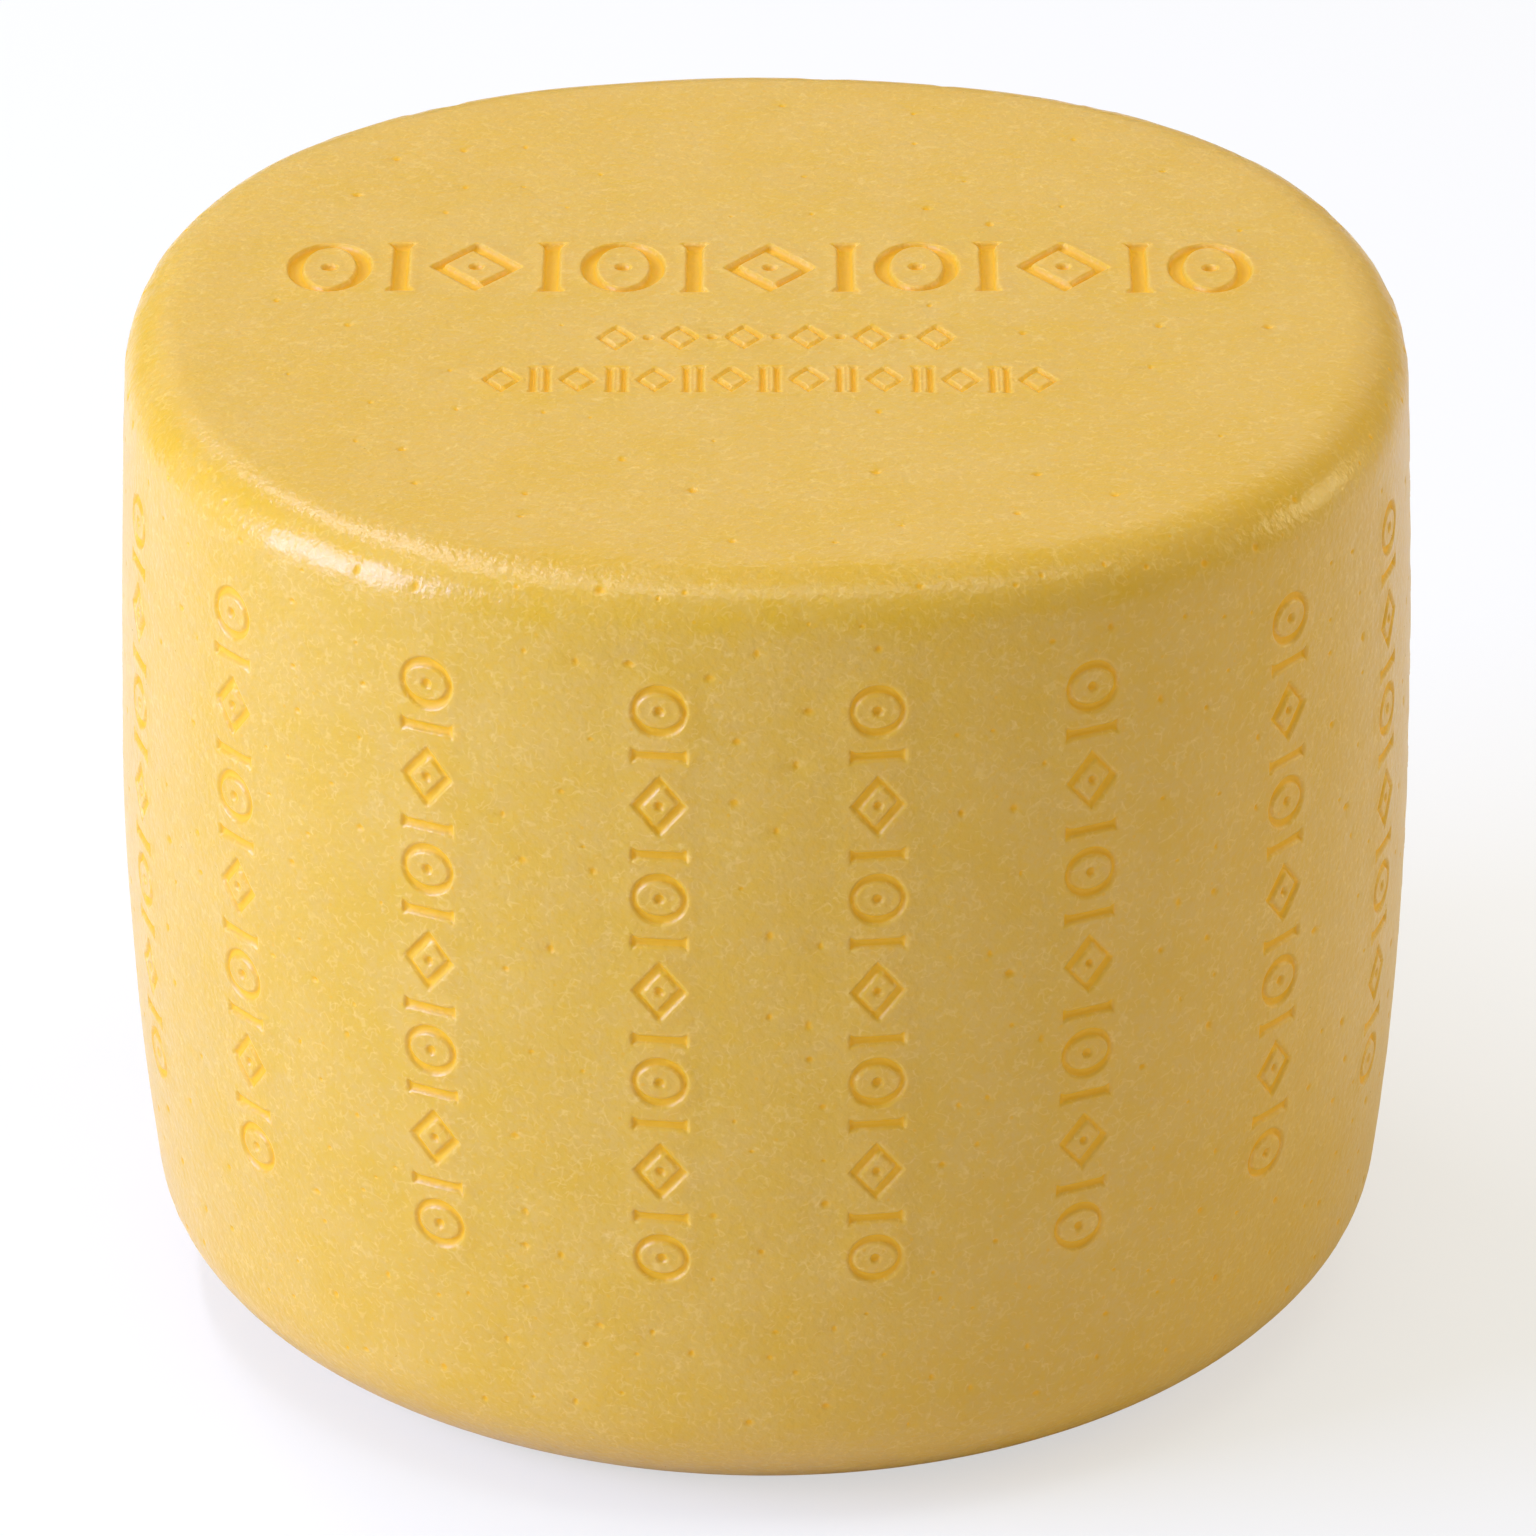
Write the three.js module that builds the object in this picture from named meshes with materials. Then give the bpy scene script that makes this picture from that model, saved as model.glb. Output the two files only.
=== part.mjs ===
// A whole, uncut wheel of hard cheese: a tall drum that stands on its flat base.
//
// The wheel is one solid. Its side is slightly barrelled, its base edge is rounded more than its
// top edge, and its plan is a little squarish, as a drum that was turned and pressed by hand is.
// Plain ornament is pressed into the rind: columns of rings, lozenges and reels down the side, and
// one large and two small rows of marks across the top.
//
// Millimetres, +Z up. The origin is the middle of the base, and -Y is the front.

import * as THREE from "three";
import { mergeVertices } from "three/addons/utils/BufferGeometryUtils.js";

// The drum
const HEIGHT = 253.4;
const WIDEST_RADIUS = 160.3;
const WIDEST_GIRTH = 2 * Math.PI * WIDEST_RADIUS;
const WIDEST_HEIGHT = 146;
const UPPER_BARREL_RADIUS = 2900;
const LOWER_BARREL_RADIUS = 910;
const TOP_EDGE_RADIAL = 14;
const TOP_EDGE_AXIAL = 12;
const BASE_EDGE_RADIAL = 67;
const BASE_EDGE_AXIAL = 40.4;
const SQUARISHNESS = 0.022;

// The curd sagged onto its base while it was soft, so the lowest part of the rounded base edge
// is pressed flat.
const SAG = 8.6;
const BASE_EDGE_TOP = BASE_EDGE_AXIAL - SAG;

// The columns pressed into the side
const COLUMN_COUNT = 18;
const FRONT_COLUMNS_DEG = [-50.6, -29.3, -9, 9.5, 28.1, 49.3];
const COLUMN = { top: 229, length: 158, height: 14, depth: 1.5 };
const COLUMN_MARKS = {
  ring: { length: 13.8, thick: 2.7, thin: 1.7, outerSides: 8, innerSides: 6 },
  lozenge: { length: 16.6, thick: 2.7, thin: 1.6 },
  reel: { length: 3, flare: 0 },
};

// The rows pressed into the top, a little bowed: their ends lie nearer the front by the bow.
const ROW_BOW = 0.4;
const LARGE_ROW = { left: -117, middle: 25.9, length: 236, height: 29, depth: 1.8 };
const LARGE_MARKS = {
  ring: { length: 21, thick: 4.2, thin: 2.6, outerSides: 16, innerSides: 12 },
  lozenge: { length: 23, thick: 4, thin: 2.4 },
  reel: { length: 4.4, flare: 1.5 },
};
const UPPER_SMALL_ROW = { left: -41, middle: -15.2, length: 87, height: 15, depth: 1.2 };
const LOWER_SMALL_ROW = { left: -68, middle: -39.5, length: 138, height: 15, depth: 1.2 };
const SMALL_MARKS = {
  lozenge: { length: 10, thick: 1.8, thin: 1.2 },
  reel: { length: 1.9, flare: 0 },
  dot: { length: 3.2, sides: 6 },
};

// A flared reel keeps its waist over this share of its height.
const WAIST_SHARE = 0.8;

// How finely the drum is divided. The side's level edges each lie in a gap of the columns.
const FACETS_PER_COLUMN = 3;
const SIDE_EDGE_HEIGHTS = [86.3, 140.2, 182.4];
const TOP_EDGE_STEPS = 4;
const BASE_EDGE_STEPS = 6;

const RIND = new THREE.MeshStandardMaterial({ color: 0xe0ba68, roughness: 0.5, metalness: 0 });

// Radius of the barrelled side at height z, before the edges are rounded.
function barrelRadius(z) {
  const away = z - WIDEST_HEIGHT;
  const barrel = away > 0 ? UPPER_BARREL_RADIUS : LOWER_BARREL_RADIUS;
  return WIDEST_RADIUS - (away * away) / (2 * barrel);
}

// Radius of the drum at height z: the barrel, less a quarter ellipse at each edge, of which the
// lower one ends at the sagged base.
function drumRadius(z) {
  const intoTop = THREE.MathUtils.clamp((z - HEIGHT + TOP_EDGE_AXIAL) / TOP_EDGE_AXIAL, 0, 1);
  const intoBase = THREE.MathUtils.clamp((BASE_EDGE_TOP - z) / BASE_EDGE_AXIAL, 0, 1);
  const topLoss = TOP_EDGE_RADIAL * (1 - Math.sqrt(1 - intoTop * intoTop));
  const baseLoss = BASE_EDGE_RADIAL * (1 - Math.sqrt(1 - intoBase * intoBase));
  return barrelRadius(z) - topLoss - baseLoss;
}

// A point of the side, girth millimetres round from the front and at height z, sunk by a depth.
// The squarish plan makes the radius a little larger on the diagonals than at front and sides,
// in full at the top and fading out towards the base.
function sidePoint(girth, z, depth = 0) {
  const bearing = girth / WIDEST_RADIUS;
  const lobes = ((SQUARISHNESS * z) / HEIGHT) * Math.cos(4 * bearing);
  const radius = drumRadius(z) * (1 - lobes) - depth;
  return new THREE.Vector3(radius * Math.sin(bearing), -radius * Math.cos(bearing), z);
}

// A point of the top, sunk by a depth.
function topPoint(x, y, depth = 0) {
  return new THREE.Vector3(x, y, HEIGHT - depth);
}

// Heights of the drum's level edges, closer together round the base edge and the top edge.
function levelHeights() {
  const quarter = Math.PI / 2;
  const heights = [];
  const lowestTurn = Math.asin(BASE_EDGE_TOP / BASE_EDGE_AXIAL);
  for (let i = 0; i < BASE_EDGE_STEPS; i++) {
    const turn = lowestTurn * (1 - i / BASE_EDGE_STEPS);
    heights.push(BASE_EDGE_TOP - BASE_EDGE_AXIAL * Math.sin(turn));
  }
  const topEdgeStart = HEIGHT - TOP_EDGE_AXIAL;
  heights.push(BASE_EDGE_TOP, ...SIDE_EDGE_HEIGHTS);
  for (let i = 0; i <= TOP_EDGE_STEPS; i++) {
    heights.push(topEdgeStart + TOP_EDGE_AXIAL * Math.sin((quarter * i) / TOP_EDGE_STEPS));
  }
  return heights;
}

// Girth positions of all columns, from the first one in front towards +X: those in front as
// given, and the rest evenly spaced round the back.
function columnGirths() {
  const [first, last] = [FRONT_COLUMNS_DEG[0], FRONT_COLUMNS_DEG.at(-1)];
  const hidden = COLUMN_COUNT - FRONT_COLUMNS_DEG.length;
  const step = (360 - (last - first)) / (hidden + 1);
  const behind = Array.from({ length: hidden }, (_, i) => last + step * (i + 1));
  return [...FRONT_COLUMNS_DEG, ...behind].map((deg) => WIDEST_RADIUS * THREE.MathUtils.degToRad(deg));
}

// Girth positions of the drum's upright edges: halfway between columns, and on both sides of
// each column, so that it lies in the middle of a facet of its own.
function uprightGirths() {
  const columns = columnGirths();
  const halfFacet = 0.5 / FACETS_PER_COLUMN;
  return columns.flatMap((girth, i) => {
    const before = columns[i - 1] ?? columns.at(-1) - WIDEST_GIRTH;
    const after = columns[i + 1] ?? columns[0] + WIDEST_GIRTH;
    return [
      THREE.MathUtils.lerp(girth, before, 0.5),
      THREE.MathUtils.lerp(girth, before, halfFacet),
      THREE.MathUtils.lerp(girth, after, halfFacet),
    ];
  });
}

// The wheel's surface, put together from triangles whose corners run counterclockwise as seen
// from outside.
class Skin {
  corners = [];

  triangle(a, b, c) {
    this.corners.push(...a, ...b, ...c);
  }

  // A flat outline with holes, each of its points then placed in space.
  sheet(outline, holes, place) {
    const points = [outline, ...holes].flat();
    for (const corners of THREE.ShapeUtils.triangulateShape(outline, holes)) {
      const flat = corners.map((i) => points[i]);
      if (THREE.ShapeUtils.area(flat) < 0) flat.reverse();
      this.triangle(...flat.map(place));
    }
  }

  // Upright walls along a loop that has the sunk floor on its left.
  walls(loop, onRim, onFloor) {
    loop.forEach((from, i) => {
      const to = loop[(i + 1) % loop.length];
      this.triangle(onRim(from), onRim(to), onFloor(to));
      this.triangle(onRim(from), onFloor(to), onFloor(from));
    });
  }

  // A panel of rind with marks pressed into it. The panel is drawn flat, and place(x, y, depth)
  // gives its points in space.
  panel(contour, marks, place) {
    const onRim = ({ x, y }) => place(x, y);
    this.sheet(contour, marks.map((mark) => mark.outline), onRim);
    for (const { outline, islands, depth } of marks) {
      const onFloor = ({ x, y }) => place(x, y, depth);
      this.sheet(outline, islands, onFloor);
      this.walls(outline, onRim, onFloor);
      for (const island of islands) {
        this.sheet(island, [], onRim);
        this.walls(island.toReversed(), onRim, onFloor);
      }
    }
  }

  geometry() {
    const geometry = new THREE.BufferGeometry();
    geometry.setAttribute("position", new THREE.Float32BufferAttribute(this.corners, 3));
    const merged = mergeVertices(geometry, 1e-4);
    merged.computeVertexNormals();
    return merged;
  }
}

// Marks are drawn counterclockwise round (0, 0), with their length along X and height along Y.
// An island is rind that stays level inside a mark.

function loop(pairs) {
  return pairs.map(([x, y]) => new THREE.Vector2(x, y));
}

function ellipse(length, height, sides) {
  const turns = Array.from({ length: sides }, (_, i) => ((i + 0.5) / sides) * 2 * Math.PI);
  return loop(turns.map((turn) => [(length / 2) * Math.cos(turn), (height / 2) * Math.sin(turn)]));
}

// A ring whose stroke is thick where it runs upright and thin at top and bottom.
function ring({ length, thick, thin, outerSides, innerSides }, height) {
  return {
    outline: ellipse(length, height, outerSides),
    islands: [ellipse(length - 2 * thick, height - 2 * thin, innerSides)],
  };
}

// The corners of a lozenge, or of what is left inside it when two of its sides come in by the
// share near of the way to the middle, and the other two by the share far.
function lozengeCorners(length, height, near = 0, far = 0) {
  const [u, v] = [1 - near, 1 - far];
  const corners = [[u + v, u - v], [u - v, u + v], [-u - v, v - u], [v - u, -u - v]];
  return loop(corners.map(([x, y]) => [(x * length) / 4, (y * height) / 4]));
}

// A lozenge outline with two thick and two thin sides.
function lozenge({ length, thick, thin }, height) {
  const inward = (length * height) / Math.hypot(length, height) / 2;
  return {
    outline: lozengeCorners(length, height),
    islands: [lozengeCorners(length, height, thick / inward, thin / inward)],
  };
}

// A reel: an upright bar, flared at both ends where a flare is given.
function reel({ length, flare }, height) {
  const [waist, end] = [length / 2, length / 2 + flare];
  const [top, shoulder] = [height / 2, (height * WAIST_SHARE) / 2];
  const right = flare
    ? [[end, -top], [waist, -shoulder], [waist, shoulder], [end, top]]
    : [[waist, -top], [waist, top]];
  return { outline: loop([...right, ...right.map(([x, y]) => [-x, -y])]), islands: [] };
}

function dot({ length, sides }) {
  return { outline: ellipse(length, length, sides), islands: [] };
}

const DRAW = { ring, lozenge, reel, dot };

// Marks in the order of kinds, evenly spaced along a line, each turned and moved into place.
function lineOfMarks(kinds, sizes, { length, height, depth }, moved) {
  const filled = kinds.reduce((sum, kind) => sum + sizes[kind].length, 0);
  const gap = (length - filled) / (kinds.length - 1);
  let start = 0;
  return kinds.map((kind) => {
    const along = start + sizes[kind].length / 2;
    start += sizes[kind].length + gap;
    const place = ({ x, y }) => moved(along + x, y);
    const { outline, islands } = DRAW[kind](sizes[kind], height);
    return { outline: outline.map(place), islands: islands.map((island) => island.map(place)), depth };
  });
}

// Repeats a pattern until there are count kinds.
function repeated(pattern, count) {
  return Array.from({ length: count }, (_, i) => pattern[i % pattern.length]);
}

const BEAD_AND_REEL = repeated(["ring", "reel", "lozenge", "reel"], 13);

// The marks of the column at a girth position, read downwards.
function columnMarks(girth) {
  const moved = (along, across) => new THREE.Vector2(girth + across, COLUMN.top - along);
  return lineOfMarks(BEAD_AND_REEL, COLUMN_MARKS, COLUMN, moved);
}

// The marks of one row on the top, read from left to right as seen from the front.
function rowMarks(row, kinds, sizes) {
  const moved = (along, across) => {
    const bow = ROW_BOW * ((2 * along) / row.length - 1) ** 2;
    return new THREE.Vector2(row.left + along, row.middle + across - bow);
  };
  return lineOfMarks(kinds, sizes, row, moved);
}

// The side and its two rounded edges, facet by facet. A facet's panel takes the marks that lie
// between its lower and upper edge.
function addSide(skin, uprights) {
  const heights = levelHeights();
  const columns = columnGirths();
  uprights.forEach((left, facet) => {
    const right = uprights[facet + 1] ?? uprights[0] + WIDEST_GIRTH;
    const column = facet % FACETS_PER_COLUMN === 1 ? columns[Math.floor(facet / FACETS_PER_COLUMN)] : null;
    const marks = column === null ? [] : columnMarks(column);
    for (let level = 0; level + 1 < heights.length; level++) {
      const [low, high] = [heights[level], heights[level + 1]];
      const between = marks.filter(({ outline }) => outline.every(({ y }) => y > low && y < high));
      skin.panel(loop([[left, low], [right, low], [right, high], [left, high]]), between, sidePoint);
    }
  });
}

// The flat outline of the drum at height z, counterclockwise as seen from above.
function planOutline(uprights, z) {
  return uprights.map((girth) => {
    const { x, y } = sidePoint(girth, z);
    return new THREE.Vector2(x, y);
  });
}

function addTop(skin, uprights) {
  const marks = [
    ...rowMarks(LARGE_ROW, BEAD_AND_REEL, LARGE_MARKS),
    ...rowMarks(UPPER_SMALL_ROW, repeated(["lozenge", "dot"], 11), SMALL_MARKS),
    ...rowMarks(LOWER_SMALL_ROW, repeated(["lozenge", "reel", "reel"], 22), SMALL_MARKS),
  ];
  skin.panel(planOutline(uprights, HEIGHT), marks, topPoint);
}

function addBase(skin, uprights) {
  const outline = planOutline(uprights, 0);
  const onBase = ({ x, y }) => new THREE.Vector3(-x, y, 0);
  skin.sheet(outline.map(({ x, y }) => new THREE.Vector2(-x, y)), [], onBase);
}

const skin = new Skin();
const uprights = uprightGirths();
addSide(skin, uprights);
addTop(skin, uprights);
addBase(skin, uprights);

const wheel = new THREE.Mesh(skin.geometry(), RIND);
wheel.name = "wheel";

const cheese = new THREE.Group();
cheese.add(wheel);

export default cheese;
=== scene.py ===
import math

import bpy
import numpy as np
from mathutils import Matrix, Vector
from mathutils.geometry import delaunay_2d_cdt


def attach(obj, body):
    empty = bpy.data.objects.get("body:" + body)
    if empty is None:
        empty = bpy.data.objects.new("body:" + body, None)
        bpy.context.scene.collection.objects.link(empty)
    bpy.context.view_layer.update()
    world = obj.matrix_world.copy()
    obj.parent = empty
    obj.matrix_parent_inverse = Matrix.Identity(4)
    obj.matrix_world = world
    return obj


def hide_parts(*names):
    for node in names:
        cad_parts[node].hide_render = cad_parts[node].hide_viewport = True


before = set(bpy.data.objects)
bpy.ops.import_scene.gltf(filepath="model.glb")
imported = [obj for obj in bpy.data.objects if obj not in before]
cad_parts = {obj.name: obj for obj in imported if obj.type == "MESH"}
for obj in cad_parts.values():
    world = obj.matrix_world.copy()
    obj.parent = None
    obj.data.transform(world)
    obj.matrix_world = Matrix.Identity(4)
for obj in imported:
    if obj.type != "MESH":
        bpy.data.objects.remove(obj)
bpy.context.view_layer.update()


# The camera
#
# A long lens looks down on the wheel from the front, so that the drum's sides hardly converge.

CAMERA_TILT = math.radians(26.765)
CAMERA_DISTANCE = 2.560
CAMERA_AIM = Vector((0.00054, 0.0, 0.1295))
LENS_MM = 242.52

camera = bpy.data.objects.new("camera", bpy.data.cameras.new("camera"))
bpy.context.scene.collection.objects.link(camera)
bpy.context.scene.camera = camera
camera.data.lens = LENS_MM
camera.data.sensor_width = 36.0
towards_camera = Vector((0.0, -math.cos(CAMERA_TILT), math.sin(CAMERA_TILT)))
camera.location = CAMERA_AIM + CAMERA_DISTANCE * towards_camera
camera.rotation_euler = (math.pi / 2 - CAMERA_TILT, 0.0, 0.0)


# The wheel
#
# One uncut wheel of hard cheese, salted and aged until its pressed rind is firm and waxy. It is
# moulded as a drum, its side bulges a little, and ornament is stamped into side and top while
# the curd is still soft. All lengths of this section are in millimetres.

HEIGHT = 253.4
WIDEST_RADIUS = 160.3
WIDEST_HEIGHT = 146.0
UPPER_BARREL_RADIUS = 2900.0
LOWER_BARREL_RADIUS = 910.0
TOP_EDGE_RADIAL, TOP_EDGE_AXIAL = 14.0, 12.0
BASE_EDGE_RADIAL, BASE_EDGE_AXIAL = 67.0, 40.4
SAG = 8.6
BASE_EDGE_TOP = BASE_EDGE_AXIAL - SAG
SQUARISHNESS = 0.022
GIRTH = 2 * math.pi * WIDEST_RADIUS


def half_outline():
    """The drum's half outline from the rim of the base to the rim of the top: distance along
    it, radius and height. The barrel is two shallow arcs that meet at the widest height. A
    quarter ellipse is taken off at each edge, and the lower one ends at the sagged base."""
    base_turn = np.linspace(math.asin(BASE_EDGE_TOP / BASE_EDGE_AXIAL), 0, 200)
    side = np.linspace(BASE_EDGE_TOP, HEIGHT - TOP_EDGE_AXIAL, 400)[1:-1]
    top_turn = np.linspace(0, np.pi / 2, 200)
    z = np.concatenate([
        BASE_EDGE_TOP - BASE_EDGE_AXIAL * np.sin(base_turn),
        side,
        HEIGHT - TOP_EDGE_AXIAL * (1 - np.sin(top_turn)),
    ])
    taken_off = np.concatenate([
        BASE_EDGE_RADIAL * (1 - np.cos(base_turn)),
        np.zeros_like(side),
        TOP_EDGE_RADIAL * (1 - np.cos(top_turn)),
    ])
    away = z - WIDEST_HEIGHT
    barrel = np.where(away > 0, UPPER_BARREL_RADIUS, LOWER_BARREL_RADIUS)
    radius = WIDEST_RADIUS - away**2 / (2 * barrel) - taken_off
    along = np.concatenate([[0], np.cumsum(np.hypot(np.diff(radius), np.diff(z)))])
    return along, radius, z


ALONG, RADIUS, LEVEL = half_outline()
OUTLINE_LENGTH = ALONG[-1]


def squarish(bearing, z):
    """The plan's radius as a share of the round one: a little more on the four diagonals, in
    full at the top and fading out towards the base."""
    return 1 - SQUARISHNESS * z / HEIGHT * np.cos(4 * bearing)


def on_side(girth, along, rise):
    """Points of the side, girth millimetres round from the front and along millimetres up the
    half outline, lifted by rise along the outline's normal."""
    bearing = girth / WIDEST_RADIUS
    lean = np.interp(along, ALONG, np.gradient(RADIUS, ALONG))
    climb = np.interp(along, ALONG, np.gradient(LEVEL, ALONG))
    level = np.interp(along, ALONG, LEVEL)
    out = np.interp(along, ALONG, RADIUS) * squarish(bearing, level) + rise * climb
    return np.stack([out * np.sin(bearing), -out * np.cos(bearing), level - rise * lean], axis=-1)


def on_top(x, y, rise):
    """Points of the flat top, lifted by rise."""
    return np.stack([x, y, HEIGHT + rise], axis=-1)


def on_base(x, y, rise):
    """Points of the flat base, drawn as seen from below."""
    return np.stack([-x, y, -rise], axis=-1)


# Marks. Each is drawn round (0, 0) with closed outlines that keep its sunk floor on their left.

OUTLINE_STEP = 1.2
ROWS_BESIDE_OUTLINE = (-0.8, -0.42, -0.06, 0.3, 1.0)
WALL_WIDTH = 0.8
LIP_HEIGHT, LIP_OFFSET, LIP_WIDTH = 0.16, 0.35, 0.4


def ellipse(length, height, inside=False):
    """An ellipse's outline in even turns, run the other way round where the floor is outside."""
    count = max(8, round(math.pi * (length + height) / 2 / OUTLINE_STEP))
    turn = np.linspace(0, 2 * np.pi, count, endpoint=False) * (-1 if inside else 1)
    return np.stack([length / 2 * np.cos(turn), height / 2 * np.sin(turn)], axis=-1)


def polygon(corners, inside=False):
    """A polygon's outline with every side divided into even steps."""
    corners = np.array(corners, dtype=float)[:: -1 if inside else 1]
    sides = zip(corners, np.roll(corners, -1, axis=0))
    return np.concatenate([
        np.linspace(a, b, max(2, round(np.hypot(*(b - a)) / OUTLINE_STEP)), endpoint=False)
        for a, b in sides
    ])


def ring(length, height, thick, thin, dot):
    """A ring with a dot in its middle, its stroke thick where it runs upright."""
    return [
        ellipse(length, height),
        ellipse(length - 2 * thick, height - 2 * thin, inside=True),
        ellipse(dot, dot),
    ]


def lozenge(length, height, thick, thin, dot):
    """A lozenge outline, two of its sides thick and two thin, with a dot in its middle where the
    dot has a size. A corner of the inner outline lies (u + v) / 2 of the way out along its own
    diagonal and (u - v) / 2 of the way along the other, with u and v the shares of the way from
    the middle to a side that a thick and a thin stroke leave free."""
    inward = length * height / math.hypot(length, height) / 2
    u, v = 1 - thick / inward, 1 - thin / inward
    outer = [(length / 2, 0), (0, height / 2), (-length / 2, 0), (0, -height / 2)]
    inner = [(u + v, u - v), (u - v, u + v), (-u - v, v - u), (v - u, -u - v)]
    inner = [(x * length / 4, y * height / 4) for x, y in inner]
    return [polygon(outer), polygon(inner, inside=True)] + ([ellipse(dot, dot)] if dot else [])


def reel(length, height, flare, shoulder):
    """An upright bar, flared over a shoulder at both ends."""
    waist, end, top, neck = length / 2, length / 2 + flare, height / 2, height / 2 - shoulder
    right = [(end, -top), (waist, -neck), (waist, neck), (end, top)]
    return [polygon(right + [(-x, -y) for x, y in right])]


def dot(size):
    """A round sunk dot."""
    return [ellipse(size, size)]


def stamp(outlines, depth):
    """The points that carry one mark: rows beside each outline, from the foot of its wall to
    clear of its lip. Gives x, y, rise and how far down to the floor each one is.

    The rise falls from the rind to the floor in a smooth step over the wall's width, by the
    distance to the nearest outline, and a low rounded lip stands just outside."""
    rows = np.array(ROWS_BESIDE_OUTLINE)
    points, nominal = [], []
    for outline in outlines:
        tangent = np.roll(outline, -1, axis=0) - np.roll(outline, 1, axis=0)
        tangent /= np.linalg.norm(tangent, axis=1, keepdims=True)
        outward = np.stack([tangent[:, 1], -tangent[:, 0]], axis=-1)
        points.append((outline[None] + rows[:, None, None] * outward[None]).reshape(-1, 2))
        nominal.append(np.repeat(rows, len(outline)))
    points, nominal = np.concatenate(points), np.concatenate(nominal)
    start = np.concatenate(outlines)
    step = np.concatenate([np.roll(outline, -1, axis=0) - outline for outline in outlines])
    offset = points[:, None] - start[None]
    share = np.clip((offset * step).sum(-1) / (step**2).sum(-1), 0, 1)
    nearest = np.linalg.norm(offset - share[..., None] * step, axis=-1).min(axis=1)
    distance = np.sign(nominal) * nearest
    into = np.clip(-distance / WALL_WIDTH, 0, 1)
    sunk = into * into * (3 - 2 * into)
    lip = LIP_HEIGHT * np.exp(-(((distance - LIP_OFFSET) / LIP_WIDTH) ** 2))
    return np.column_stack([points, lip - depth * sunk, sunk])


def line_of_stamps(marks, length):
    """Marks, each given as its outlines' length, its outlines and its depth, set in one line
    with even gaps. Gives the points of all stamps, moved into place along X."""
    lengths = np.array([size for size, _, _ in marks])
    gap = (length - lengths.sum()) / (len(marks) - 1)
    middles = np.cumsum(lengths + gap) - gap - lengths / 2
    placed = [stamp(outlines, depth) for _, outlines, depth in marks]
    for points, middle in zip(placed, middles):
        points[:, 0] += middle
    return np.concatenate(placed)


# The columns of marks pressed into the side

FRONT_COLUMNS_DEG = [-50.6, -29.3, -9.0, 9.5, 28.1, 49.3]
COLUMN_COUNT = 18
COLUMN_TOP, COLUMN_LENGTH, COLUMN_WIDTH, COLUMN_DEPTH = 229.0, 158.0, 14.0, 0.75


def column_girths():
    """Girth positions of the columns: those in front as set out, the rest evenly spaced."""
    first, last = FRONT_COLUMNS_DEG[0], FRONT_COLUMNS_DEG[-1]
    behind = np.linspace(last, first + 360, COLUMN_COUNT - len(FRONT_COLUMNS_DEG) + 2)[1:-1]
    return WIDEST_RADIUS * np.radians(np.concatenate([FRONT_COLUMNS_DEG, behind]))


def column_stamps():
    """All columns' points: one line of rings, reels and lozenges, read down the side, and
    repeated at each girth position. Gives girth, along, rise and sunk."""
    a_ring = (13.8, ring(13.8, COLUMN_WIDTH, 2.9, 1.8, 3.2), COLUMN_DEPTH)
    a_reel = (3.0, reel(2.7, COLUMN_WIDTH, 1.0, 1.8), COLUMN_DEPTH)
    a_lozenge = (16.6, lozenge(16.6, COLUMN_WIDTH, 2.8, 1.8, 2.8), COLUMN_DEPTH)
    marks = [(a_ring, a_reel, a_lozenge, a_reel)[i % 4] for i in range(13)]
    line = line_of_stamps(marks, COLUMN_LENGTH)
    top = np.interp(COLUMN_TOP, LEVEL, ALONG)
    girths = column_girths()
    copies = np.tile(line, (len(girths), 1))
    at = np.repeat(girths, len(line))
    return np.column_stack([at + copies[:, 1], top - copies[:, 0], copies[:, 2:]])


# The rows of marks pressed into the top, bowed so that their ends lie a little nearer the front

ROW_BOW = 0.4


def row_stamps(left, middle, length, marks):
    """One row's points: x, y, rise and sunk."""
    points = line_of_stamps(marks, length)
    bow = ROW_BOW * (2 * points[:, 0] / length - 1) ** 2
    return np.column_stack([left + points[:, 0], middle + points[:, 1] - bow, points[:, 2:]])


def top_stamps():
    """The large row of rings, reels and lozenges, and two small rows in front of it."""
    depth, small_depth = 1.4, 0.9
    large = [
        (21.0, ring(21.0, 29.0, 4.2, 2.6, 4.4), depth),
        (4.4, reel(4.4, 29.0, 1.5, 2.9), depth),
        (23.0, lozenge(23.0, 29.0, 4.0, 2.4, 4.0), depth),
        (4.4, reel(4.4, 29.0, 1.5, 2.9), depth),
    ]
    a_lozenge = (10.0, lozenge(10.0, 15.0, 1.9, 1.4, 0), small_depth)
    a_bar = (1.9, reel(1.9, 15.0, 0.5, 1.2), small_depth)
    a_dot = (3.2, dot(3.2), small_depth)
    return np.concatenate([
        row_stamps(-117.0, 25.9, 236.0, [large[i % 4] for i in range(13)]),
        row_stamps(-41.0, -15.2, 87.0, [(a_lozenge, a_dot)[i % 2] for i in range(11)]),
        row_stamps(-68.0, -39.5, 138.0, [(a_lozenge, a_bar, a_bar)[i % 3] for i in range(22)]),
    ])


# Pores. Gas bubbles of the curd that break the rind: shallow round pits with a faint lip. They
# are spread by a grid of cells, of which only a share holds one, and keep clear of the marks.

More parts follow.
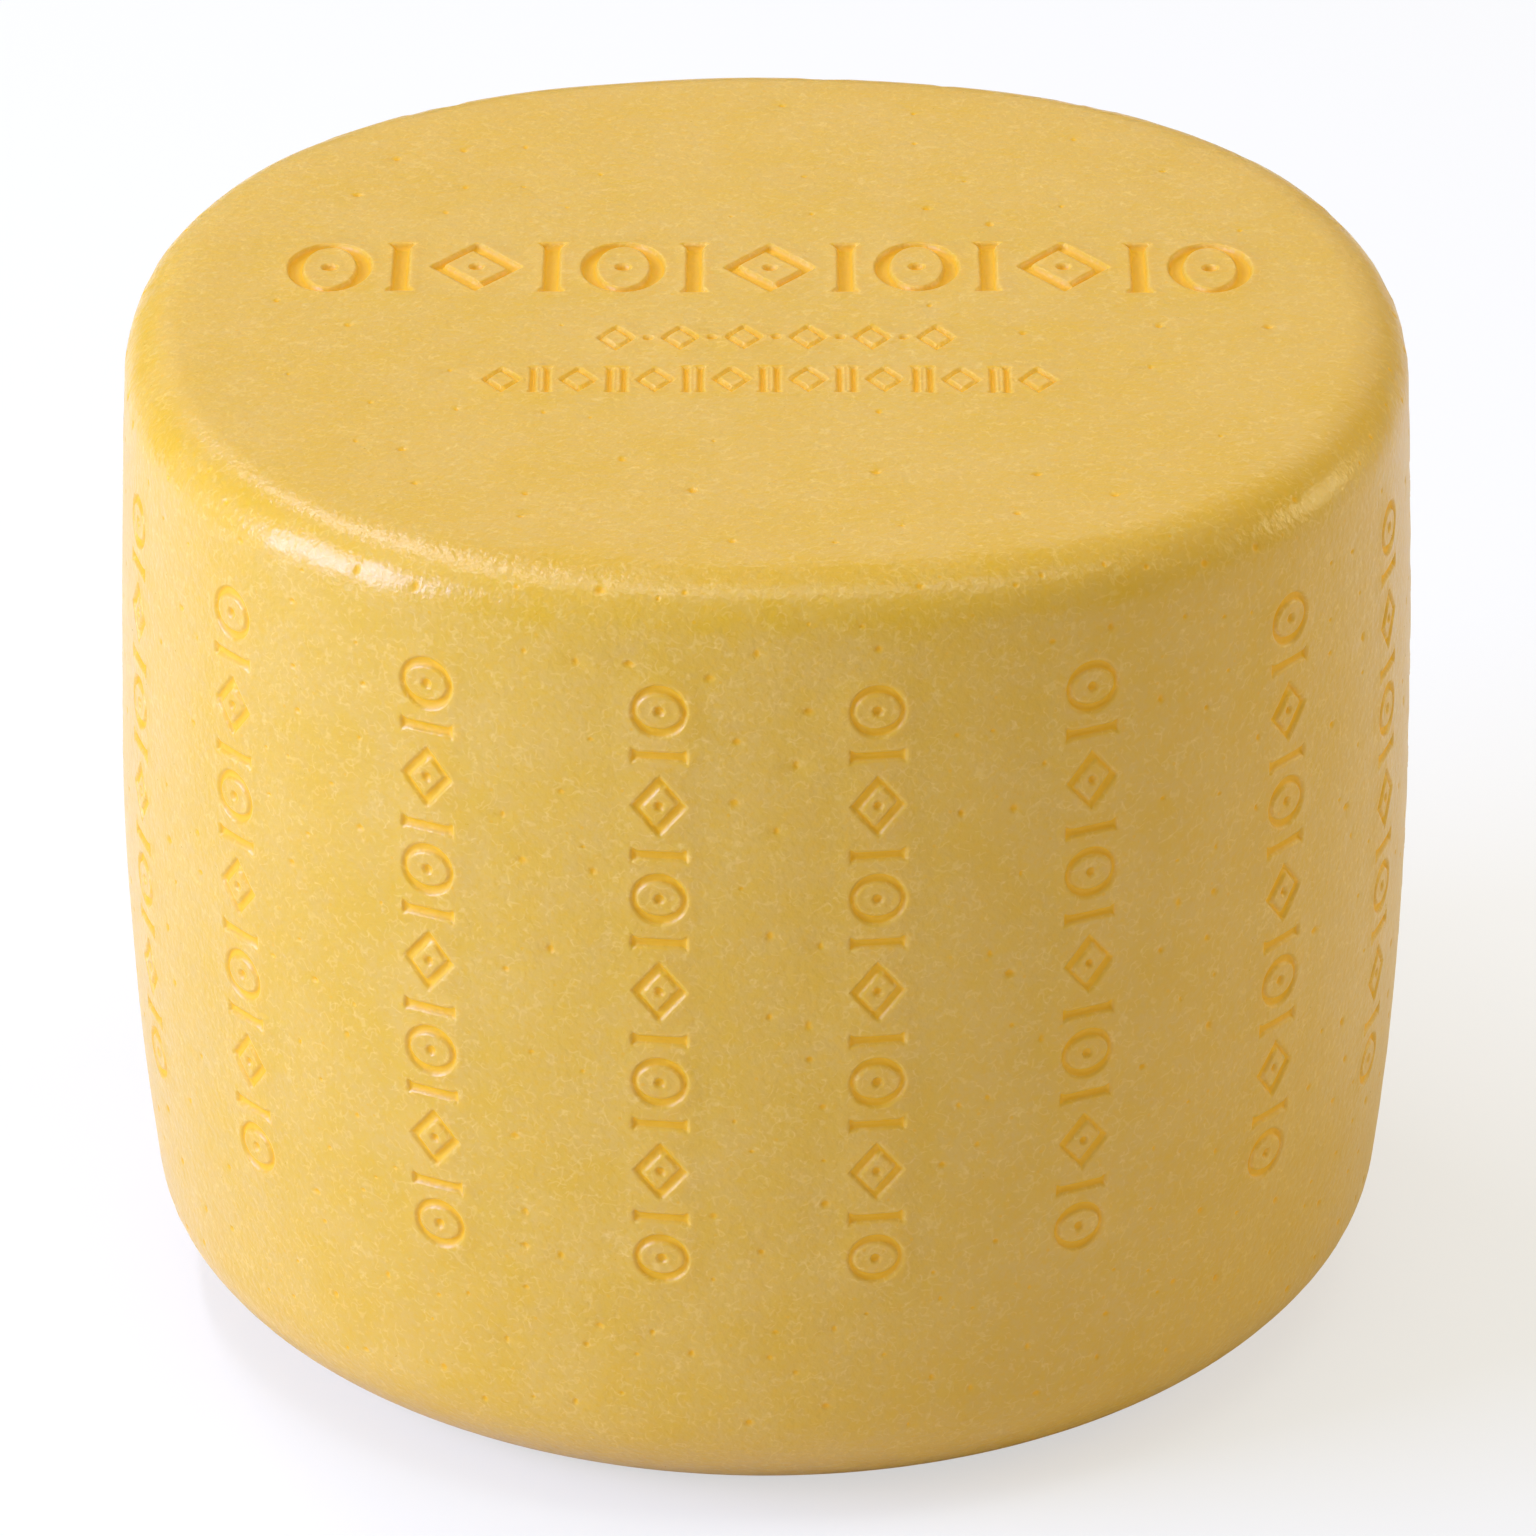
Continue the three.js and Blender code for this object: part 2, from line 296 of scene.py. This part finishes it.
PORE_ROWS = ((0.0, 1), (0.5, 5), (0.95, 7), (1.5, 7))
PORE_LIP = 0.06
SMALLEST_PORE, PORE_GROWTH = 0.6, 0.7
PORE_SLOPE = 1.5
SIDE_PORE_CELL, SIDE_PORE_SHARE, SIDE_PORE_GAP = 14.5, 0.85, 2.4
FLAT_PORE_CELL, TOP_PORE_SHARE, BASE_PORE_SHARE, FLAT_PORE_GAP = 22.0, 0.6, 0.3, 3.0


def scattered(low, high, cell, share, seed):
    """One point at random in each cell of a square grid, of which a share is kept."""
    draw = np.random.default_rng(seed)
    counts = np.maximum(1, np.round((np.array(high) - low) / cell)).astype(int)
    cells = np.stack(np.meshgrid(*map(np.arange, counts), indexing="ij"), axis=-1).reshape(-1, 2)
    shares = (cells + draw.uniform(0.12, 0.88, cells.shape)) / counts
    kept = draw.random(len(shares)) < share
    return np.array(low) + shares[kept] * (np.array(high) - low)


def pores(centres, seed):
    """Rings of points round each centre, out to beyond the pit's rim. The pit's rise is a
    rounded bowl: depth times a smooth step of the distance from its middle. Gives x, y, rise
    and how far inside the pit each point is."""
    draw = np.random.default_rng(seed)
    radius = SMALLEST_PORE + PORE_GROWTH * draw.random(len(centres)) ** 1.5
    depth = radius * draw.uniform(0.3, 0.5, len(centres))
    share = np.concatenate([np.full(count, at) for at, count in PORE_ROWS])
    turn = np.concatenate([np.arange(count) / count * 2 * np.pi + at for at, count in PORE_ROWS])
    squash = draw.uniform(0.75, 1.3, len(centres))[:, None]
    x = centres[:, :1] + radius[:, None] * share * np.cos(turn) * squash
    y = centres[:, 1:] + radius[:, None] * share * np.sin(turn) / squash
    hollow = np.clip((1.15 - share) * PORE_SLOPE, 0, 1)
    hollow = hollow * hollow * (3 - 2 * hollow)
    lip = PORE_LIP * np.exp(-(((share - 1.2) / 0.35) ** 2))
    rise = -depth[:, None] * hollow + lip
    return np.column_stack([x.ravel(), y.ravel(), rise.ravel(), np.tile(hollow, len(centres))])


# The drum's skin: points spread over side, top and base, joined into triangles.

SIDE_STEP, EDGE_STEP, FLAT_STEP = 4.8, 3.3, 5.0
SHIFT, SMALL_SHIFT = 0.8, 0.6
GAP_TO_MARKS, GAP_TO_PORES, GAP_TO_SEAM = 2.0, 1.8, 1.5
RIM_COUNT = 252
UNEVENNESS = 0.6
SEAM_BEARING_DEG = 189.5
SEAM = WIDEST_RADIUS * math.radians(SEAM_BEARING_DEG)


def unevenness(points):
    """The slow swell of a drum pressed by hand: a sum of long, low waves that run through space
    in seeded directions, fading out towards the base."""
    draw = np.random.default_rng(11)
    directions = draw.normal(size=(16, 3))
    directions /= np.linalg.norm(directions, axis=1, keepdims=True)
    lengths = draw.uniform(30, 120, 16)
    waves = np.sin(points @ (directions.T * 2 * np.pi / lengths) + draw.uniform(0, 6.28, 16))
    swell = waves @ (lengths / lengths.sum())
    return UNEVENNESS * swell * np.clip(points[:, 2] / 40, 0, 1)


def clear_of(points, others, distance):
    """The points that keep at least the distance from every one of others: on a grid of cells
    as large as the distance, those with none of the others in their own cell or one beside it."""
    shifts = np.stack(np.meshgrid((-1, 0, 1), (-1, 0, 1)), axis=-1).reshape(-1, 1, 2)
    cells = (np.floor(others[:, :2] / distance).astype(int)[None] + shifts).reshape(-1, 2)
    near = np.unique(cells, axis=0)
    own = np.floor(points[:, :2] / distance).astype(int)
    keys = near[:, 0] * 100003 + near[:, 1]
    return points[~np.isin(own[:, 0] * 100003 + own[:, 1], keys)]


def plain(x, y):
    """Points of bare rind, with no rise and no mark."""
    return np.column_stack([x, y, np.zeros((len(x), 3))])


def tagged(points, pore=False):
    """Points whose share of the way down is set in the fourth column where they belong to a
    mark, and in the fifth where they belong to a pore."""
    x, y, rise, down = points.T
    none = np.zeros_like(down)
    return np.column_stack([x, y, rise, none if pore else down, down if pore else none])


def triangles(flat):
    """Joins flat points into triangles that run counterclockwise."""
    _, _, faces, origin, _, _ = delaunay_2d_cdt(flat.tolist(), [], [], 0, 1e-5)
    faces = np.array([origin[i][0] for face in faces for i in face]).reshape(-1, 3)
    a, b, c = flat[faces[:, 0]], flat[faces[:, 1]], flat[faces[:, 2]]
    area = (b[:, 0] - a[:, 0]) * (c[:, 1] - a[:, 1]) - (b[:, 1] - a[:, 1]) * (c[:, 0] - a[:, 0])
    faces[area < 0] = faces[area < 0][:, ::-1]
    return faces[np.abs(area) > 1e-9]


def side_points():
    """The side as a flat strip, girth by distance along the half outline. The first points are
    the seam, its copy one girth further on, and the rims of base and top between them."""
    draw = np.random.default_rng(5)
    low, high = np.interp([BASE_EDGE_TOP, HEIGHT - TOP_EDGE_AXIAL], LEVEL, ALONG)
    levels = np.concatenate([
        np.linspace(0, low, round(low / EDGE_STEP), endpoint=False),
        np.linspace(low, high, round((high - low) / SIDE_STEP), endpoint=False),
        np.linspace(high, OUTLINE_LENGTH, round((OUTLINE_LENGTH - high) / EDGE_STEP) + 1),
    ])
    rim = SEAM - GIRTH + GIRTH * np.arange(1, RIM_COUNT) / RIM_COUNT
    seam = np.full(len(levels), SEAM - GIRTH)
    border = np.concatenate([
        plain(seam, levels),
        plain(seam + GIRTH, levels),
        plain(rim, np.zeros(RIM_COUNT - 1)),
        plain(rim, np.full(RIM_COUNT - 1, OUTLINE_LENGTH)),
    ])
    count = round(GIRTH / SIDE_STEP)
    girth, along = np.meshgrid(np.arange(count) / count, levels[1:-1], indexing="ij")
    stagger = np.arange(len(levels) - 2) % 2 / 2 / count + 0.25 / count
    girth = SEAM - GIRTH + GIRTH * (girth + stagger)
    girth += draw.uniform(-SHIFT, SHIFT, girth.shape)
    along = along + draw.uniform(-SMALL_SHIFT, SMALL_SHIFT, along.shape)
    filling = plain(girth.ravel(), along.ravel())
    marks = tagged(column_stamps())
    marks[marks[:, 0] > SEAM, 0] -= GIRTH
    first, last = [SEAM - GIRTH + 4, 40], [SEAM - 4, OUTLINE_LENGTH - 8]
    pits = scattered(first, last, SIDE_PORE_CELL, SIDE_PORE_SHARE, 21)
    pits = tagged(pores(clear_of(pits, marks, SIDE_PORE_GAP), 22), pore=True)
    filling = clear_of(clear_of(filling, marks, GAP_TO_MARKS), pits, GAP_TO_PORES)
    filling = filling[filling[:, 0] > SEAM - GIRTH + GAP_TO_SEAM]
    filling = filling[filling[:, 0] < SEAM - GAP_TO_SEAM]
    return np.concatenate([border, filling, marks, pits]), len(levels)


def disc_points(rim, marks, pits):
    """A flat round face within its rim: the rim's points, then a staggered grid of points in
    what the marks and the pits leave free, then the marks and the pits."""
    draw = np.random.default_rng(6)
    radius = np.linalg.norm(rim, axis=1).min()
    steps = np.arange(-radius, radius, FLAT_STEP)
    x, y = np.meshgrid(steps, steps)
    x = x + (np.arange(len(steps)) % 2 * FLAT_STEP / 2)[:, None]
    x = x.ravel() + draw.uniform(-SHIFT, SHIFT, x.size)
    y = y.ravel() + draw.uniform(-SHIFT, SHIFT, y.size)
    inside = np.hypot(x, y) < radius - 0.6 * FLAT_STEP
    filling = plain(x[inside], y[inside])
    if len(marks):
        filling = clear_of(filling, marks, GAP_TO_MARKS)
    filling = clear_of(filling, pits, GAP_TO_PORES)
    return np.concatenate([plain(*rim.T), filling, marks, pits])


def wheel_mesh():
    """Side, top and base as three flat sheets of triangles, sewn together along the seam and
    the two rims, bent into the drum, and pressed and pitted by each point's rise."""
    side, seam_count = side_points()
    number = np.arange(len(side))
    number[seam_count:2 * seam_count] = np.arange(seam_count)
    faces = [number[triangles(side[:, :2])]]
    girth, along, rise = side[:, 0], side[:, 1], side[:, 2]
    level_side = on_side(girth, along, 0 * rise)
    points = [on_side(girth, along, rise + unevenness(level_side))]
    relief = [side[:, 3:]]
    total = len(side)

    rim_numbers = 2 * seam_count + np.arange(RIM_COUNT - 1)
    base_rim = np.concatenate([[0], rim_numbers])
    top_rim = np.concatenate([[seam_count - 1], rim_numbers + RIM_COUNT - 1])
    flat_faces = (
        (on_top, 1, top_rim, tagged(top_stamps()), TOP_PORE_SHARE, 31),
        (on_base, -1, base_rim, np.zeros((0, 5)), BASE_PORE_SHARE, 41),
    )
    for place, hand, rim, marks, pore_share, seed in flat_faces:
        ends = level_side[rim, :2] * (hand, 1)
        reach = np.linalg.norm(ends, axis=1).min() - 8
        pits = scattered([-reach, -reach], [reach, reach], FLAT_PORE_CELL, pore_share, seed)
        pits = pits[np.linalg.norm(pits, axis=1) < reach]
        if len(marks):
            pits = clear_of(pits, marks, FLAT_PORE_GAP)
        sheet = disc_points(ends, marks, tagged(pores(pits, seed + 1), pore=True))
        x, y, rise = sheet[:, 0], sheet[:, 1], sheet[:, 2]
        lifted = place(x, y, rise + unevenness(place(x, y, 0 * rise)))
        number = np.arange(len(sheet)) + total - len(rim)
        number[:len(rim)] = rim
        faces.append(number[triangles(sheet[:, :2])])
        points.append(lifted[len(rim):])
        relief.append(sheet[len(rim):, 3:])
        total += len(sheet) - len(rim)

    points, relief, faces = map(np.concatenate, (points, relief, faces))
    used, faces = np.unique(faces, return_inverse=True)
    faces = faces.reshape(-1, 3)
    mesh = bpy.data.meshes.new("cheese_wheel")
    mesh.from_pydata((points[used] / 1000).tolist(), [], faces.tolist())
    mesh.polygons.foreach_set("use_smooth", np.ones(len(faces), dtype=bool))
    for name, values in zip(("pressed", "pore"), relief[used].T):
        layer = mesh.attributes.new(name, "FLOAT", "POINT")
        layer.data.foreach_set("value", values.astype(np.float32))
    mesh.update()
    return mesh


wheel = bpy.data.objects.new("cheese_wheel", wheel_mesh())
bpy.context.scene.collection.objects.link(wheel)


class Wire:
    """A shader socket that can be used in sums, each of which becomes a Math node."""

    def __init__(self, finish, socket):
        self.finish, self.socket = finish, socket

    def sum(self, operation, a, b):
        return self.finish.put("ShaderNodeMath", {"operation": operation}, {0: a, 1: b})

    def __add__(self, other):
        return self.sum("ADD", self, other)

    def __radd__(self, other):
        return self.sum("ADD", other, self)

    def __sub__(self, other):
        return self.sum("SUBTRACT", self, other)

    def __rsub__(self, other):
        return self.sum("SUBTRACT", other, self)

    def __mul__(self, other):
        return self.sum("MULTIPLY", self, other)

    def __rmul__(self, other):
        return self.sum("MULTIPLY", other, self)

    def __abs__(self):
        return self.finish.put("ShaderNodeMath", {"operation": "ABSOLUTE"}, {0: self})

    def step(self, low, high):
        """A smooth step from 0 at low to 1 at high; low may be the larger one."""
        ends = {"Value": self, 1: min(low, high), 2: max(low, high)}
        ends.update({3: 0.0, 4: 1.0} if low < high else {3: 1.0, 4: 0.0})
        return self.finish.put("ShaderNodeMapRange", {"interpolation_type": "SMOOTHSTEP"}, ends)


class Finish:
    """A material in the making."""

    def __init__(self, name):
        self.material = bpy.data.materials.new(name)
        self.material.use_nodes = True
        self.tree = self.material.node_tree
        self.tree.nodes.clear()

    def put(self, kind, settings=None, sockets=None, out=0):
        """Adds a node, sets its settings and then its sockets, and gives one of its outputs."""
        node = self.tree.nodes.new(kind)
        for name, value in (settings or {}).items():
            setattr(node, name, value)
        for name, value in (sockets or {}).items():
            if isinstance(value, Wire):
                self.tree.links.new(value.socket, node.inputs[name])
            else:
                node.inputs[name].default_value = value
        return Wire(self, node.outputs[out]) if node.outputs else None

    def between(self, first, second, share):
        """A colour share of the way from the first one to the second."""
        return self.put("ShaderNodeMix", {"data_type": "RGBA"}, {0: share, 6: first, 7: second}, out=2)

    def noise(self, where, size, detail=0.0, roughness=0.5):
        """Soft noise with lumps about as large as size, in millimetres."""
        lumps = {"Vector": where, "Scale": 1 / size, "Detail": detail, "Roughness": roughness}
        return self.put("ShaderNodeTexNoise", None, lumps)

    def moved(self, where, by):
        """Coordinates moved, so that a pattern shows another part of itself."""
        return self.put("ShaderNodeVectorMath", {"operation": "ADD"}, {0: where, 1: by})

    def curls(self, where, size):
        """Short curved lines: where a noise passes through its middle, cut up by another."""
        lines = abs(self.noise(where, size, detail=1.0, roughness=0.4) - 0.5).step(0.055, 0.006)
        return lines * self.noise(where, size * 0.85).step(0.50, 0.64)


def rind_finish():
    """Rind of a hard cheese: ochre yellow, a little translucent and satiny. It is mottled with
    paler and greyer patches and crossed by fine pale curls of pressed curd, whose paleness is
    partly a painted highlight for the lit sides of fine ridges that are not modelled. It is a
    deeper yellow where it is pressed in or pitted, and in the pressed marks also lighter than
    the rind around: painted light that offsets the shade in the recess."""
    rind = Finish("rind")
    metres = rind.put("ShaderNodeTexCoord", out="Object")
    where = rind.put("ShaderNodeVectorMath", {"operation": "SCALE"}, {0: metres, "Scale": 1000.0})
    pressed = rind.put("ShaderNodeAttribute", {"attribute_name": "pressed"}, out="Fac")
    pore = rind.put("ShaderNodeAttribute", {"attribute_name": "pore"}, out="Fac")

    patches = rind.noise(where, 22.0, detail=2.0, roughness=0.5).step(0.36, 0.66)
    clouds = rind.noise(where, 7.0, detail=3.0, roughness=0.6).step(0.35, 0.7)
    grain = rind.noise(where, 1.3, detail=2.0, roughness=0.6)
    elsewhere = rind.moved(where, (5.0, 71.0, 23.0))
    blotches = rind.noise(elsewhere, 2.6, detail=2.0, roughness=0.6).step(0.42, 0.68)
    pebbles = rind.noise(where, 1.9, detail=2.0, roughness=0.5)
    specks = rind.put("ShaderNodeTexVoronoi", None, {"Vector": where, "Scale": 1 / 6.5})
    specks = specks.step(0.095, 0.045)
    curls = rind.curls(where, 3.4) + rind.curls(rind.moved(where, (37.0, 11.0, 5.0)), 2.3)

    colour = rind.between((0.69, 0.397, 0.025, 1), (0.70, 0.416, 0.052, 1), patches)
    colour = rind.between(colour, (0.68, 0.410, 0.077, 1), clouds * 0.5)
    colour = rind.between(colour, (0.70, 0.391, 0.013, 1), blotches * 0.45)
    colour = rind.between(colour, (0.72, 0.393, 0.010, 1), grain.step(0.50, 0.72) * 0.5)
    # Pale curls: partly the curd's own paler colour, partly a painted highlight standing for the lit
    # sides of fine ridges that the bump does not make.
    colour = rind.between(colour, (0.84, 0.57, 0.15, 1), curls * 0.3)
    colour = rind.between(colour, (0.74, 0.385, 0.006, 1), specks * 0.8)
    # Pressed floors: the deeper yellow is the rind's own, but it is made lighter than the rind around.
    # That lightness is painted light, offsetting the shade in the recess.
    colour = rind.between(colour, (0.80, 0.430, 0.004, 1), pressed.step(0.3, 0.9) * 0.95)
    colour = rind.between(colour, (0.78, 0.405, 0.003, 1), pore)

    bump = {"Strength": 1.0, "Distance": 0.001, "Height": pebbles * 0.25}
    normal = rind.put("ShaderNodeBump", None, bump)
    surface = rind.put("ShaderNodeBsdfPrincipled", {"subsurface_method": "BURLEY"}, {
        "Base Color": colour,
        "Roughness": 0.24 + grain * 0.14 + (pressed + pore) * 0.3,
        "Normal": normal,
        "IOR": 1.5,
        "Subsurface Weight": 0.5,
        "Subsurface Radius": (1.0, 0.55, 0.15),
        "Subsurface Scale": 0.005,
    })
    rind.put("ShaderNodeOutputMaterial", None, {"Surface": surface})
    return rind.material


wheel.data.materials.append(rind_finish())
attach(wheel, "root")
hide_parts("wheel")


# The floor
#
# A plain white light table, level with the wheel's base. Its glow is seen, but is too faint to
# light the wheel from below.

FLOOR_REACH = 4.0
TABLE_GLOW = 0.6


def floor_mesh():
    """A level square, as far as the floor's reach to each side."""
    x, y = np.meshgrid((-FLOOR_REACH, FLOOR_REACH), (-FLOOR_REACH, FLOOR_REACH))
    corners = np.column_stack([x.ravel(), y.ravel(), np.zeros(4)])
    mesh = bpy.data.meshes.new("floor")
    mesh.from_pydata(corners.tolist(), [], [(0, 1, 3, 2)])
    return mesh


floor = bpy.data.objects.new("floor", floor_mesh())
bpy.context.scene.collection.objects.link(floor)
paint = Finish("floor_paint")
matt = paint.put("ShaderNodeBsdfDiffuse", None, {"Color": (0.88, 0.87, 0.84, 1)})
glow = paint.put("ShaderNodeEmission", None, {"Color": (1.0, 1.0, 1.0, 1), "Strength": 1.0})
seen = paint.put("ShaderNodeLightPath", out="Is Camera Ray")
table = paint.put("ShaderNodeMixShader", None, {0: seen * TABLE_GLOW, 1: matt, 2: glow})
paint.put("ShaderNodeOutputMaterial", None, {"Surface": table})
floor.data.materials.append(paint.material)


# The light
#
# A wide soft box overhead, a strip that the rim mirrors, a cool key on the left, a weak warm one
# behind on the right, a white backdrop that the top mirrors, and a pale, warm room.


def soft_box(name, place, width, height, along, watts, tint=(1.0, 1.0, 1.0)):
    """A lamp that faces the middle of the wheel, its width as nearly as it can be along a line."""
    lamp = bpy.data.objects.new(name, bpy.data.lights.new(name, "AREA"))
    bpy.context.scene.collection.objects.link(lamp)
    lamp.data.shape = "RECTANGLE"
    lamp.data.size, lamp.data.size_y = width, height
    lamp.data.energy = watts
    lamp.data.color = tint
    lamp.location = place
    back = (Vector(place) - Vector((0, 0, 0.14))).normalized()
    across = (Vector(along) - Vector(along).dot(back) * back).normalized()
    lamp.rotation_euler = Matrix((across, back.cross(across), back)).transposed().to_euler()


soft_box("overhead", (0.0, -0.65, 2.75), 2.4, 0.8, (1, 0, 0), 17.0, (0.92, 0.99, 1.05))
soft_box("strip", (-0.9, 0.75, 2.42), 2.2, 0.16, (0.05, -1.0, 0.3), 19.0, (0.98, 1.0, 1.3))
soft_box("left", (-2.25, -0.75, 1.05), 1.5, 1.5, (0, 1, 0), 55.0, (0.80, 1.0, 1.85))
soft_box("right_edge", (2.2, 0.7, 0.9), 1.0, 1.0, (0, 1, 0), 13.0, (1.0, 0.92, 0.58))
soft_box("backdrop", (0.0, 2.6, 1.5), 3.2, 1.5, (1, 0, 0), 8.0)

world = bpy.data.worlds.new("studio")
world.use_nodes = True
world.node_tree.nodes["Background"].inputs["Color"].default_value = (1.0, 0.94, 0.70, 1)
world.node_tree.nodes["Background"].inputs["Strength"].default_value = 0.39
bpy.context.scene.world = world
bpy.context.scene.view_settings.view_transform = "Standard"
